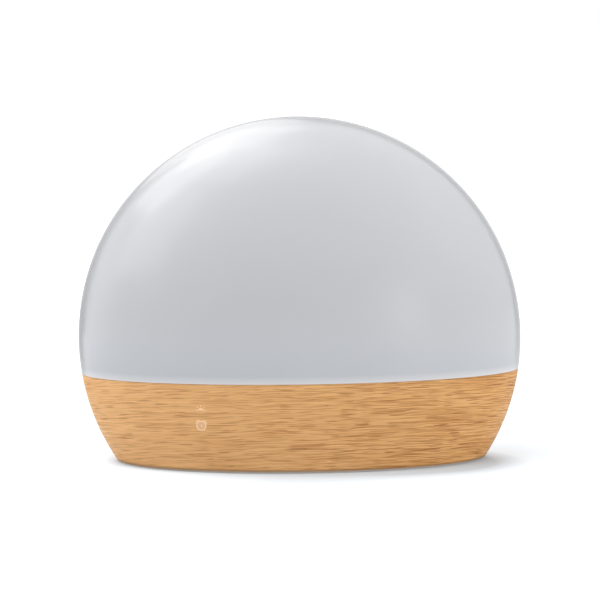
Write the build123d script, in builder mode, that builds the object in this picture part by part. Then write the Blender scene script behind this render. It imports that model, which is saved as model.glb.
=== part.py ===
"""Bedside wake-up clock: a frosted light dome on a wood-veneered base.

The body is a flattened ball, a true circle seen from the front, cut flat where it stands. Its lower part is a
veneered base with a hidden number display in front, push buttons and a power inlet behind, and a speaker and a
coin-cell door underneath. Millimetres, +Z up, front towards -Y, origin on the table under the middle.
"""

import os
from math import sqrt

from build123d import *

# Body: the outline that dome and base share
WIDTH = 200.0
DEPTH = 88.0
WIDEST_HEIGHT = 55.4
BAND_HEIGHT = 39.8
FOOT_STAND = 1.0

# Clearances
FIT_GAP = 0.3
SLIDE_GAP = 0.2
GLUE_GAP = 0.1
THREAD_GAP = 0.05

# Dome diffuser
DOME_WALL = 2.4
SPIGOT_WALL = 1.6
SPIGOT_LENGTH = 4.6
COLLAR_HEIGHT = 2.6
HOOK_X = 52.0
HOOK_WIDTH = 8.0
HOOK_HEIGHT = 1.4
HOOK_BITE = 0.8
HOOK_RISE = 0.9

# Base shell and its veneer
VENEER = 0.6
SHELL_WALL = 2.4
LEDGE_THICK = 2.0
LEDGE_LAP = 2.2
PLATE_LEDGE_THICK = 1.8
PLATE_LEDGE_WIDTH = 3.0

# Light deck, with the posts that take the base screws
DECK_THICK = 2.0
DECK_LIP_WIDTH = 1.5
POST_RADIUS = 3.8
POST_Y = 12.0
WIRE_SLOT_LENGTH = 9.0
WIRE_SLOT_WIDTH = 4.0

# Light board
LIGHT_BOARD_LENGTH = 124.0
LIGHT_BOARD_WIDTH = 42.0
LIGHT_BOARD_CORNER = 10.0
LIGHT_BOARD_THICK = 1.6
LIGHT_STANDOFF = 1.2
LIGHT_STANDOFF_RADIUS = 3.2
LIGHT_SCREW_INSET = 7.0
LED_SIZE = 5.0
LED_HEIGHT = 1.5
LED_PITCH = 15.0
LED_ROW_PITCH = 17.0
LED_COLUMNS = 7
LED_ROWS = 2

# Screws
SCREW_RADIUS = 1.5
SCREW_HEAD_RADIUS = 2.7
SCREW_HEAD_HEIGHT = 1.8
BASE_SCREW_LENGTH = 12.0
SMALL_SCREW_RADIUS = 1.0
SMALL_HEAD_RADIUS = 1.9
SMALL_HEAD_HEIGHT = 1.3
SMALL_SCREW_GRIP = 2.6
# The cross recess, as shares of the head's radius and height
CROSS_LENGTH = 1.2
CROSS_WIDTH = 0.34
CROSS_DEPTH = 0.6

# Hidden number display
DISPLAY_LENGTH = 100.0
DISPLAY_CORNER = 2.0
DISPLAY_MARGIN = 1.7
DISPLAY_DROP = 0.8
DIGIT_HEIGHT = 16.0
DIGIT_WIDTH = 10.4
DIGIT_PITCH = 16.4
COLON_GAP = 9.6
SEGMENT_WIDTH = 2.0
SEGMENT_GAP = 0.9
COLON_RADIUS = 1.1
ICON_INSET = 7.0
DAY_HALF_RISE = 6.6
DAY_HALF_WIDTH = 5.2
DAY_HALF_HEIGHT = 2.8
BELL_DROP = 1.6
BELL_RADIUS = 3.2
SHROUD_FLANGE = 2.0
EAR_REACH = 7.5
EAR_HEIGHT = 8.0
EAR_INSET = 4.0
BOARD_THICK = 1.6
CHIP_SIZE = 1.3
CHIP_HEIGHT = 0.8
DISPLAY_BOSS_RADIUS = 2.8

# Rear control panel and its buttons
PANEL_END = 5.9
PANEL_HEIGHT = 14.0
PANEL_CORNER = 5.0
PANEL_RECESS = 0.3
PANEL_BACK = 1.5
PANEL_LIP = 1.8
PANEL_POST_RADIUS = 2.3
BUTTONS = ["plus", "minus", "clock", "alarm", "sound", "light"]
BUTTON_PITCH = 14.6
BUTTON_RADIUS = 4.6
BUTTON_PROUD = 0.9
BUTTON_EDGE = 0.5
BUTTON_FLANGE = 1.0
BUTTON_FLANGE_LAP = 1.0
BUTTON_STEM_RADIUS = 1.6
BUTTON_STEM_LENGTH = 1.2
BUTTON_TRAVEL = 0.7
SWITCH_SIZE = 6.0
SWITCH_HEIGHT = 3.5
PLUNGER_RADIUS = 1.7
PLUNGER_PROUD = 1.0
PLUNGER_DEPTH = 1.2
PLUNGER_CLEARANCE = 0.08

# Bottom plate and feet
PLATE_RECESS = 0.6
PLATE_THICK = 2.4
PLATE_BOSS_RADIUS = 4.6
PLATE_BOSS_HEIGHT = 2.4
FOOT_RADIUS = 4.5
FOOT_SINK = 0.8
FOOT_SPACING = 12.0
FOOT_EDGE = 0.5
FOOT_MARGIN = 1.2
GRILLE_RADIUS = 14.5
GRILLE_PITCH = 3.6
GRILLE_SLOT = 1.6

# Speaker
SPEAKER_RADIUS = 19.0
SPEAKER_SEAT = 2.4
SPEAKER_SEAT_WIDTH = 1.8
SPEAKER_RIM = 3.0
SPEAKER_RIM_THICK = 1.2
BASKET_DEPTH = 6.2
BASKET_WALL = 1.0
BASKET_BACK_RADIUS = 14.0
BASKET_WINDOW_WIDTH = 7.0
MAGNET_RADIUS = 10.5
MAGNET_BORE = 6.0
MAGNET_HEIGHT = 5.0
YOKE_THICK = 1.5
POLE_RADIUS = 4.0
COIL_RADIUS = 5.0
COIL_WALL = 0.4
CONE_THICK = 0.5
CONE_DEPTH = 3.6
SURROUND_WIDTH = 2.4
SPEAKER_BOSS_RADIUS = 2.8

# Coin-cell compartment and its quarter-turn door
CELL_RADIUS = 10.0
CELL_HEIGHT = 3.2
CELL_STEP = 0.6
CELL_CAP_INSET = 1.2
CELL_GAP = 0.4
DOOR_RADIUS = 12.4
DOOR_THICK = 1.9
DOOR_LUG_REACH = 1.6
DOOR_LUG_WIDTH = 6.0
DOOR_LUG_HEIGHT = 0.8
DOOR_TURN = 60.0
COIN_SLOT_LENGTH = 15.0
COIN_SLOT_WIDTH = 1.8
COIN_SLOT_DEPTH = 1.0
CUP_WALL = 1.8
CUP_ROOF = 1.2
CONTACT_ROOM = 1.4
CONTACT_THICK = 0.3
CONTACT_WIDTH = 4.0
CONTACT_REACH = 6.0
CLIP_SLOT_DEPTH = 1.2

# Components on the display board and the button board
CHIP_BODY = 10.0
CHIP_THICK = 1.6
CHIP_X = 18.0
CAPACITOR_RADIUS = 3.15
CAPACITOR_HEIGHT = 8.0
CAPACITOR_PITCH = 8.0
PLUG_LENGTH = 7.4
PLUG_WIDTH = 4.4
PLUG_HEIGHT = 5.0
PLUG_INSET = 12.0
LIGHT_PLUG_X = 22.0

# Power inlet
JACK_WIDTH = 9.0
JACK_HEIGHT = 9.0
JACK_BACK = 1.0
JACK_BORE = 3.15
JACK_PIN = 1.0
JACK_PIN_BACK = 0.8
JACK_MARGIN = 0.5
INLET_RADIUS = 5.2
INLET_GAP = 1.0

# Leads and the ribbon between the boards
LEAD_RADIUS = 1.1
LEAD_BEND = 3.0
LEAD_RUN = 8.0
RIBBON_THICK = 0.3
RIBBON_WIDTH = 9.0
RIBBON_BEND = 8.0
RIBBON_SAG = 6.0
RIBBON_X = -11.0


# Shared measures

RADIUS = WIDTH / 2
HALF_DEPTH = DEPTH / 2
CENTRE_Z = WIDEST_HEIGHT
BODY_HEIGHT = CENTRE_Z + RADIUS
RIM_Z = FOOT_STAND
SEAM_Z = RIM_Z + BAND_HEIGHT


def reach(x, z, inset=0):
    """How far the wall stands from the middle plane at a place seen from the front, at an inset from the outside."""
    share = (x**2 + (z - CENTRE_Z) ** 2) / (RADIUS - inset) ** 2
    return (HALF_DEPTH - inset) * sqrt(1 - share)


def section(z, inset=0):
    """Half width and half depth of the level cut through the body at a height, at an inset from the outside."""
    share = sqrt(1 - ((z - CENTRE_Z) / (RADIUS - inset)) ** 2)
    return (RADIUS - inset) * share, (HALF_DEPTH - inset) * share


# Depths of the layers, counted in from the outside
SHELL_OUT = VENEER + GLUE_GAP
SHELL_IN = SHELL_OUT + SHELL_WALL
SPIGOT_OUT = SHELL_IN + SLIDE_GAP
SPIGOT_IN = SPIGOT_OUT + SPIGOT_WALL
DECK_OUT = SPIGOT_IN + FIT_GAP
LEDGE_IN = DECK_OUT + LEDGE_LAP
PLATE_LEDGE_IN = SHELL_IN + PLATE_LEDGE_WIDTH
PANEL_LIP_OUT = SHELL_IN + GLUE_GAP
PANEL_IN = PANEL_LIP_OUT + PANEL_BACK
SHROUD_OUT = VENEER + SLIDE_GAP

# Heights of the layers
SPIGOT_END_Z = SEAM_Z - SPIGOT_LENGTH
LEDGE_TOP_Z = SPIGOT_END_Z - SLIDE_GAP
DECK_TOP_Z = LEDGE_TOP_Z + DECK_THICK
LIGHT_BOARD_Z = DECK_TOP_Z + LIGHT_STANDOFF
LIGHT_BOARD_TOP_Z = LIGHT_BOARD_Z + LIGHT_BOARD_THICK
PLATE_Z = RIM_Z + PLATE_RECESS
PLATE_TOP_Z = PLATE_Z + PLATE_THICK
POST_END_Z = PLATE_TOP_Z + PLATE_BOSS_HEIGHT
SPEAKER_Z = PLATE_TOP_Z + SPEAKER_SEAT
SPEAKER_RIM_TOP_Z = SPEAKER_Z + SPEAKER_RIM_THICK
BASKET_TOP_Z = SPEAKER_Z + BASKET_DEPTH
BASKET_BACK_Z = BASKET_TOP_Z + BASKET_WALL
DOOR_TOP_Z = PLATE_Z + DOOR_THICK
CELL_Z = DOOR_TOP_Z + GLUE_GAP
CELL_TOP_Z = CELL_Z + CELL_HEIGHT
CUP_ROOF_Z = CELL_TOP_Z + CONTACT_ROOM
CUP_TOP_Z = CUP_ROOF_Z + CUP_ROOF
LEDGE_LOW_Z = LEDGE_TOP_Z - LEDGE_THICK
DISPLAY_HEIGHT = DIGIT_HEIGHT + 2 * DISPLAY_MARGIN
DISPLAY_Z = LEDGE_LOW_Z - DISPLAY_DROP - DISPLAY_HEIGHT / 2
PANEL_Z = LEDGE_LOW_Z - SLIDE_GAP - PANEL_LIP - PANEL_HEIGHT / 2
JACK_Z = PANEL_Z - PANEL_HEIGHT / 2 - INLET_GAP - INLET_RADIUS

# Places inside the base, packed from the posts inwards
POST_SPAN_Y = POST_Y + PLATE_BOSS_RADIUS
floor_width, floor_depth = section(PLATE_TOP_Z, PLATE_LEDGE_IN)
POST_X = floor_width * sqrt(1 - (POST_SPAN_Y / floor_depth) ** 2) - FIT_GAP - PLATE_BOSS_RADIUS
POST_PLACES = [(x, y) for x in (-POST_X, POST_X) for y in (-POST_Y, POST_Y)]
CUP_RADIUS = DOOR_RADIUS + DOOR_LUG_REACH + FIT_GAP + CUP_WALL
SPEAKER_REACH = SPEAKER_RADIUS + PLATE_BOSS_RADIUS + FIT_GAP
CUP_REACH = CUP_RADIUS + PLATE_BOSS_RADIUS + FIT_GAP
SPEAKER_X = POST_X - sqrt(SPEAKER_REACH**2 - POST_Y**2)
CELL_X = -(POST_X - sqrt(CUP_REACH**2 - POST_Y**2))
SPEAKER_SCREW_REACH = SPEAKER_RADIUS + SMALL_SCREW_RADIUS + FIT_GAP
SPEAKER_SCREW_PLACES = [(SPEAKER_X - SPEAKER_SCREW_REACH, 0), (SPEAKER_X + SPEAKER_SCREW_REACH, 0)]
FOOT_X = POST_X - FOOT_SPACING
FOOT_Y = reach(FOOT_X + FOOT_RADIUS, PLATE_Z, SHELL_IN) - FOOT_MARGIN - FOOT_RADIUS
FOOT_PLACES = [(x, y) for x in (-FOOT_X, FOOT_X) for y in (-FOOT_Y, FOOT_Y)]

# Front to back: the display
EAR_HALF = DISPLAY_LENGTH / 2 + EAR_REACH
EAR_X = EAR_HALF - EAR_INSET
DISPLAY_HALF = DISPLAY_LENGTH / 2
SHROUD_FACE_Y = -min(
    reach(DISPLAY_HALF, DISPLAY_Z - DISPLAY_HEIGHT / 2, SHELL_IN),
    reach(EAR_HALF, DISPLAY_Z - EAR_HEIGHT / 2, SHELL_IN),
) + FIT_GAP
SHROUD_BACK_Y = SHROUD_FACE_Y + SHROUD_FLANGE
DISPLAY_BACK_Y = SHROUD_BACK_Y + BOARD_THICK
EAR_PLACES = [(-EAR_X, DISPLAY_Z), (EAR_X, DISPLAY_Z)]

# Front to back: the buttons
BUTTON_X = [(k - (len(BUTTONS) - 1) / 2) * BUTTON_PITCH for k in range(len(BUTTONS))]
FLANGE_RADIUS = BUTTON_RADIUS + SLIDE_GAP + BUTTON_FLANGE_LAP
FLANGE_Y = [reach(abs(x) + FLANGE_RADIUS, PANEL_Z - FLANGE_RADIUS, PANEL_IN) - FIT_GAP for x in BUTTON_X]
PLUNGER_TIP_Y = min(FLANGE_Y) - BUTTON_FLANGE - BUTTON_STEM_LENGTH
SWITCH_TOP_Y = PLUNGER_TIP_Y - PLUNGER_PROUD
BUTTON_BOARD_Y = SWITCH_TOP_Y - SWITCH_HEIGHT
BUTTON_BOARD_BACK_Y = BUTTON_BOARD_Y - BOARD_THICK
PANEL_LENGTH = 2 * (BUTTON_X[-1] + BUTTON_RADIUS + PANEL_END)
PANEL_LIP_HALF = PANEL_LENGTH / 2 + PANEL_LIP
PANEL_POST_X = PANEL_LIP_HALF - PANEL_POST_RADIUS - FIT_GAP
PANEL_POST_PLACES = [(-PANEL_POST_X, PANEL_Z), (PANEL_POST_X, PANEL_Z)]

# The power inlet and the plugs on the button board
JACK_LOW_Z = JACK_Z - JACK_HEIGHT / 2
JACK_FACE_Y = reach(JACK_WIDTH / 2, JACK_LOW_Z, SHELL_IN) - FIT_GAP
JACK_LENGTH = JACK_FACE_Y - BUTTON_BOARD_Y
PLUG_X = PANEL_POST_X - PLUG_INSET
PLUG_END_Y = BUTTON_BOARD_BACK_Y - PLUG_HEIGHT
LEAD_TURN_Y = PLUG_END_Y - LEAD_RUN

LIGHT_SCREW_X = LIGHT_BOARD_LENGTH / 2 - LIGHT_SCREW_INSET
LIGHT_SCREW_Y = LIGHT_BOARD_WIDTH / 2 - LIGHT_SCREW_INSET
LIGHT_SCREW_PLACES = [(x, y) for x in (-LIGHT_SCREW_X, LIGHT_SCREW_X) for y in (-LIGHT_SCREW_Y, LIGHT_SCREW_Y)]

UP = (Align.CENTER, Align.CENTER, Align.MIN)


# Shared shapes

def rounded_body(inset):
    """The whole flattened ball, shrunk by an inset."""
    flat_share = (HALF_DEPTH - inset) / (RADIUS - inset)
    with BuildPart() as ball:
        Sphere(RADIUS - inset)
        scale(by=(1, flat_share, 1))
    with BuildPart() as body:
        with Locations((0, 0, CENTRE_Z)):
            add(ball.part)
    return body.part


def body_slice(inset, low, high):
    """The part of the shrunk ball between two heights, solid."""
    with BuildPart() as piece:
        add(rounded_body(inset))
        with Locations((0, 0, low)):
            Box(2 * WIDTH, 2 * DEPTH, high - low, align=UP, mode=Mode.INTERSECT)
    return piece.part


def wall_ring(outer, inner, low, high):
    """The wall between two insets, all the way round, from one height to another."""
    with BuildPart() as ring:
        add(body_slice(outer, low, high))
        add(rounded_body(inner), mode=Mode.SUBTRACT)
    return ring.part


def ledge_ring(inner, low, high):
    """A flat ledge inside the base wall, with an upright inner edge."""
    half_width, half_depth = section(low, inner)
    with BuildPart() as ring:
        add(body_slice(SHELL_IN - SHELL_WALL / 2, low, high))
        with BuildSketch(Plane.XY.offset(low)):
            Ellipse(half_width, half_depth)
        extrude(amount=high - low, mode=Mode.SUBTRACT)
    return ring.part


def wall_patch(length, height, corner, z, side, outer, inner):
    """The wall between two insets behind a rounded rectangle seen from the front (side 1) or the back (side -1)."""
    with BuildPart() as patch:
        with BuildSketch(Plane.XZ):
            with Locations((0, z)):
                RectangleRounded(length, height, corner)
        extrude(amount=side * DEPTH)
        add(rounded_body(outer), mode=Mode.INTERSECT)
        add(rounded_body(inner), mode=Mode.SUBTRACT)
    return patch.part


def screws(places, plane, side, radius, head_radius, head_height, grip):
    """Cross-head screws whose heads stand on one side of a plane, with shanks to the other."""
    with BuildPart() as group:
        with BuildSketch(plane):
            with Locations(*places):
                Circle(head_radius)
        extrude(amount=side * head_height)
        with BuildSketch(plane):
            with Locations(*places):
                Circle(radius)
        extrude(amount=-side * grip)
        with BuildSketch(plane.offset(side * head_height)):
            with Locations(*places):
                Rectangle(CROSS_LENGTH * head_radius, CROSS_WIDTH * head_radius)
                Rectangle(CROSS_WIDTH * head_radius, CROSS_LENGTH * head_radius)
        extrude(amount=-side * CROSS_DEPTH * head_height, mode=Mode.SUBTRACT)
    return group.part


def tube(points):
    """A round lead along straight runs joined by arcs."""
    with BuildPart() as lead:
        with BuildLine() as route:
            FilletPolyline(*points, radius=LEAD_BEND)
        with BuildSketch(Plane(origin=route.line @ 0, z_dir=route.line % 0)):
            Circle(LEAD_RADIUS)
        sweep(path=route.line)
    return lead.part


def ribbon(points, x):
    """A flat ribbon that bends in the front-to-back plane; its points are (y, z)."""
    with BuildPart() as strip:
        with BuildSketch(Plane.YZ.offset(x)):
            with BuildLine():
                FilletPolyline(*points, radius=RIBBON_BEND)
            trace(line_width=RIBBON_THICK)
        extrude(amount=RIBBON_WIDTH / 2, both=True)
    return strip.part


def keep(part, name):
    """Labels a finished piece and writes it as its own file."""
    part.label = name
    export_step(part, f"parts/{name}.step")


os.makedirs("parts", exist_ok=True)


# Dome diffuser: moulded frosted shell with a spigot that clips inside the base

COLLAR_TOP_Z = SEAM_Z + COLLAR_HEIGHT
DOME_TOP_Z = BODY_HEIGHT + DOME_WALL
HOOK_Z = SPIGOT_END_Z + HOOK_RISE
HOOK_COLUMNS = [(-HOOK_X, 0), (HOOK_X, 0)]
with BuildPart() as hooks:
    add(body_slice(SPIGOT_OUT - HOOK_BITE, HOOK_Z, HOOK_Z + HOOK_HEIGHT))
    with Locations(*HOOK_COLUMNS):
        Box(HOOK_WIDTH, DEPTH, SEAM_Z, align=UP, mode=Mode.INTERSECT)

with BuildPart() as dome_diffuser:
    add(body_slice(0, SEAM_Z, DOME_TOP_Z))
    add(body_slice(SPIGOT_OUT, SPIGOT_END_Z, COLLAR_TOP_Z))
    add(hooks.part)
    add(body_slice(DOME_WALL, COLLAR_TOP_Z, DOME_TOP_Z), mode=Mode.SUBTRACT)
    add(body_slice(SPIGOT_IN, 0, DOME_TOP_Z), mode=Mode.SUBTRACT)
keep(dome_diffuser.part, "dome_diffuser")


# Wood veneer: a thin skin glued round the base, left whole over the display

with BuildPart() as rear_cuts:
    with BuildSketch(Plane.XZ):
        with Locations((0, PANEL_Z)):
            RectangleRounded(PANEL_LENGTH + 2 * SLIDE_GAP, PANEL_HEIGHT + 2 * SLIDE_GAP, PANEL_CORNER + SLIDE_GAP)
        with Locations((0, JACK_Z)):
            Circle(INLET_RADIUS)
    extrude(amount=-DEPTH)

with BuildPart() as wood_veneer:
    add(wall_ring(0, VENEER, RIM_Z, SEAM_Z))
    add(rear_cuts.part, mode=Mode.SUBTRACT)
keep(wood_veneer.part, "wood_veneer")


# Base shell: moulded wall with a ledge for the deck, a ledge for the bottom plate and two display bosses

with BuildPart() as hook_pockets:
    add(body_slice(SPIGOT_OUT - HOOK_BITE - SLIDE_GAP, HOOK_Z - FIT_GAP, HOOK_Z + HOOK_HEIGHT + FIT_GAP))
    with Locations(*HOOK_COLUMNS):
        Box(HOOK_WIDTH + 2 * FIT_GAP, DEPTH, SEAM_Z, align=UP, mode=Mode.INTERSECT)

with BuildPart() as display_bosses:
    with BuildSketch(Plane.XZ.offset(-SHROUD_FACE_Y)):
        with Locations(*EAR_PLACES):
            Circle(DISPLAY_BOSS_RADIUS)
    extrude(amount=HALF_DEPTH)
    add(rounded_body(SHELL_OUT + SHELL_WALL / 2), mode=Mode.INTERSECT)

with BuildPart() as base_shell:
    add(wall_ring(SHELL_OUT, SHELL_IN, RIM_Z, SEAM_Z))
    add(ledge_ring(LEDGE_IN, LEDGE_LOW_Z, LEDGE_TOP_Z))
    add(ledge_ring(PLATE_LEDGE_IN, PLATE_TOP_Z, PLATE_TOP_Z + PLATE_LEDGE_THICK))
    add(display_bosses.part)
    add(rear_cuts.part, mode=Mode.SUBTRACT)
    add(hook_pockets.part, mode=Mode.SUBTRACT)
    with BuildSketch(Plane.XZ):
        with Locations((0, DISPLAY_Z)):
            RectangleRounded(DISPLAY_LENGTH + 2 * FIT_GAP, DISPLAY_HEIGHT + 2 * FIT_GAP, DISPLAY_CORNER)
    extrude(amount=DEPTH, mode=Mode.SUBTRACT)
    with BuildSketch(Plane.XZ.offset(-SHROUD_FACE_Y)):
        with Locations(*EAR_PLACES):
            Circle(SMALL_SCREW_RADIUS + THREAD_GAP)
    extrude(amount=SMALL_SCREW_GRIP + THREAD_GAP, mode=Mode.SUBTRACT)
keep(base_shell.part, "base_shell")


# Light deck: white plate on the upper ledge, with four long posts down to the bottom plate

deck_width, deck_depth = section(LEDGE_TOP_Z, DECK_OUT)
with BuildPart() as light_deck:
    with BuildSketch(Plane.XY.offset(LEDGE_TOP_Z)):
        Ellipse(deck_width, deck_depth)
    extrude(amount=DECK_THICK)
    with BuildSketch(Plane.XY.offset(DECK_TOP_Z)):
        Ellipse(deck_width, deck_depth)
        Ellipse(deck_width - DECK_LIP_WIDTH, deck_depth - DECK_LIP_WIDTH, mode=Mode.SUBTRACT)
        with Locations(*LIGHT_SCREW_PLACES):
            Circle(LIGHT_STANDOFF_RADIUS)
    extrude(amount=LIGHT_STANDOFF)
    with BuildSketch(Plane.XY.offset(POST_END_Z)):
        with Locations(*POST_PLACES):
            Circle(POST_RADIUS)
    extrude(amount=LEDGE_TOP_Z - POST_END_Z)
    with BuildSketch(Plane.XY.offset(POST_END_Z)):
        with Locations(*POST_PLACES):
            Circle(SCREW_RADIUS + THREAD_GAP)
    extrude(amount=BASE_SCREW_LENGTH, mode=Mode.SUBTRACT)
    with BuildSketch(Plane.XY.offset(LIGHT_BOARD_Z)):
        with Locations(*LIGHT_SCREW_PLACES):
            Circle(SMALL_SCREW_RADIUS + THREAD_GAP)
    extrude(amount=-SMALL_SCREW_GRIP, mode=Mode.SUBTRACT)
    with BuildSketch(Plane.XY.offset(LEDGE_TOP_Z)):
        with Locations((LIGHT_PLUG_X, LEAD_TURN_Y)):
            SlotOverall(WIRE_SLOT_LENGTH, WIRE_SLOT_WIDTH)
    extrude(amount=DECK_THICK, mode=Mode.SUBTRACT)
keep(light_deck.part, "light_deck")


# Light board: metal-core board with two rows of light packages, screwed to the deck

with BuildPart() as led_board:
    with BuildSketch(Plane.XY.offset(LIGHT_BOARD_Z)):
        RectangleRounded(LIGHT_BOARD_LENGTH, LIGHT_BOARD_WIDTH, LIGHT_BOARD_CORNER)
        with Locations(*LIGHT_SCREW_PLACES):
            Circle(SMALL_SCREW_RADIUS + SLIDE_GAP, mode=Mode.SUBTRACT)
    extrude(amount=LIGHT_BOARD_THICK)
keep(led_board.part, "led_board")

with BuildPart() as led_packages:
    with BuildSketch(Plane.XY.offset(LIGHT_BOARD_TOP_Z)):
        with GridLocations(LED_PITCH, LED_ROW_PITCH, LED_COLUMNS, LED_ROWS):
            Rectangle(LED_SIZE, LED_SIZE)
    extrude(amount=LED_HEIGHT)
keep(led_packages.part, "led_packages")

led_board_screws = screws(
    LIGHT_SCREW_PLACES,
    Plane.XY.offset(LIGHT_BOARD_TOP_Z),
    1,
    SMALL_SCREW_RADIUS,
    SMALL_HEAD_RADIUS,
    SMALL_HEAD_HEIGHT,
    SMALL_SCREW_GRIP + LIGHT_BOARD_THICK - THREAD_GAP,
)
keep(led_board_screws, "led_board_screws")

led_lead = tube(
    [
        (LIGHT_PLUG_X, PLUG_END_Y, PANEL_Z),
        (LIGHT_PLUG_X, LEAD_TURN_Y, PANEL_Z),
        (LIGHT_PLUG_X, LEAD_TURN_Y, LIGHT_BOARD_Z),
    ]
)
keep(led_lead, "led_lead")


# Display shroud: light guide with one well for each bar of the numbers, its face curved to lie behind the veneer

def bar_outline(length):
    """One bar of a number: a flat hexagon with pointed ends."""
    half = length / 2
    shoulder = half - SEGMENT_WIDTH / 2
    edge = SEGMENT_WIDTH / 2
    return [(-half, 0), (-shoulder, edge), (shoulder, edge), (half, 0), (shoulder, -edge), (-shoulder, -edge)]


LEVEL_BAR = DIGIT_WIDTH - SEGMENT_WIDTH - SEGMENT_GAP
UPRIGHT_BAR = (DIGIT_HEIGHT - SEGMENT_WIDTH) / 2 - SEGMENT_GAP
BAR_RISE = (DIGIT_HEIGHT - SEGMENT_WIDTH) / 2
BAR_SIDE = (DIGIT_WIDTH - SEGMENT_WIDTH) / 2
INNER_DIGIT_X = (COLON_GAP + DIGIT_WIDTH) / 2
DIGIT_X = [-INNER_DIGIT_X - DIGIT_PITCH, -INNER_DIGIT_X, INNER_DIGIT_X, INNER_DIGIT_X + DIGIT_PITCH]
LEVEL_BAR_PLACES = [(x, DISPLAY_Z + rise) for x in DIGIT_X for rise in (-BAR_RISE, 0, BAR_RISE)]
UPRIGHT_BAR_PLACES = [
    (x + side, DISPLAY_Z + rise)
    for x in DIGIT_X
    for side in (-BAR_SIDE, BAR_SIDE)
    for rise in (-BAR_RISE / 2, BAR_RISE / 2)
]
COLON_PLACES = [(0, DISPLAY_Z - BAR_RISE / 2), (0, DISPLAY_Z + BAR_RISE / 2)]
ICON_X = ICON_INSET - DISPLAY_HALF
ICON_PLACES = [(ICON_X, DISPLAY_Z + DAY_HALF_RISE), (ICON_X, DISPLAY_Z - BELL_DROP)]

with BuildPart() as display_shroud:
    with BuildSketch(Plane.XZ.offset(-SHROUD_FACE_Y)):
        with Locations((0, DISPLAY_Z)):
            RectangleRounded(DISPLAY_LENGTH, DISPLAY_HEIGHT, DISPLAY_CORNER)
    extrude(amount=HALF_DEPTH)
    add(rounded_body(SHROUD_OUT), mode=Mode.INTERSECT)
    with BuildSketch(Plane.XZ.offset(-SHROUD_BACK_Y)):
        with Locations((0, DISPLAY_Z)):
            Rectangle(DISPLAY_LENGTH, DISPLAY_HEIGHT)
            Rectangle(2 * EAR_HALF, EAR_HEIGHT)
    extrude(amount=SHROUD_FLANGE)
    with BuildSketch(Plane.XZ.offset(-SHROUD_BACK_Y)):
        with Locations(*LEVEL_BAR_PLACES):
            Polygon(*bar_outline(LEVEL_BAR))
        with Locations(*UPRIGHT_BAR_PLACES):
            Polygon(*bar_outline(UPRIGHT_BAR), rotation=90)
        with Locations(*COLON_PLACES):
            Circle(COLON_RADIUS)
        with Locations(ICON_PLACES[0]):
            Rectangle(DAY_HALF_WIDTH, DAY_HALF_HEIGHT)
        with Locations(ICON_PLACES[1]):
            Circle(BELL_RADIUS)
        with Locations(*EAR_PLACES):
            Circle(SMALL_SCREW_RADIUS + SLIDE_GAP)
    extrude(amount=HALF_DEPTH, mode=Mode.SUBTRACT)
keep(display_shroud.part, "display_shroud")

with BuildPart() as display_board:
    with BuildSketch(Plane.XZ.offset(-DISPLAY_BACK_Y)):
        with Locations((0, DISPLAY_Z)):
            Rectangle(DISPLAY_LENGTH, DISPLAY_HEIGHT)
            Rectangle(2 * EAR_HALF, EAR_HEIGHT)
        with Locations(*EAR_PLACES):
            Circle(SMALL_SCREW_RADIUS + SLIDE_GAP, mode=Mode.SUBTRACT)
    extrude(amount=BOARD_THICK)
keep(display_board.part, "display_board")

with BuildPart() as segment_leds:
    with BuildSketch(Plane.XZ.offset(-SHROUD_BACK_Y)):
        with Locations(*LEVEL_BAR_PLACES, *UPRIGHT_BAR_PLACES, *COLON_PLACES, *ICON_PLACES):
            Rectangle(CHIP_SIZE, CHIP_SIZE)
    extrude(amount=CHIP_HEIGHT)
keep(segment_leds.part, "segment_leds")

display_screws = screws(
    EAR_PLACES,
    Plane.XZ.offset(-DISPLAY_BACK_Y),
    -1,
    SMALL_SCREW_RADIUS,
    SMALL_HEAD_RADIUS,
    SMALL_HEAD_HEIGHT,
    SMALL_SCREW_GRIP + BOARD_THICK + SHROUD_FLANGE,
)
keep(display_screws, "display_screws")

with BuildPart() as controller_chip:
    with BuildSketch(Plane.XZ.offset(-DISPLAY_BACK_Y)):
        with Locations((CHIP_X, DISPLAY_Z)):
            Rectangle(CHIP_BODY, CHIP_BODY)
    extrude(amount=-CHIP_THICK)
keep(controller_chip.part, "controller_chip")

ribbon_mid_y = (DISPLAY_BACK_Y + BUTTON_BOARD_BACK_Y) / 2
display_ribbon = ribbon(
    [
        (DISPLAY_BACK_Y + GLUE_GAP, DISPLAY_Z),
        (ribbon_mid_y, DISPLAY_Z - RIBBON_SAG),
        (BUTTON_BOARD_BACK_Y - GLUE_GAP, PANEL_Z),
    ],
    RIBBON_X,
)
keep(display_ribbon, "display_ribbon")


# Control panel: curved rear plate that fits the opening from inside, with a lip behind the shell and two posts

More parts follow.
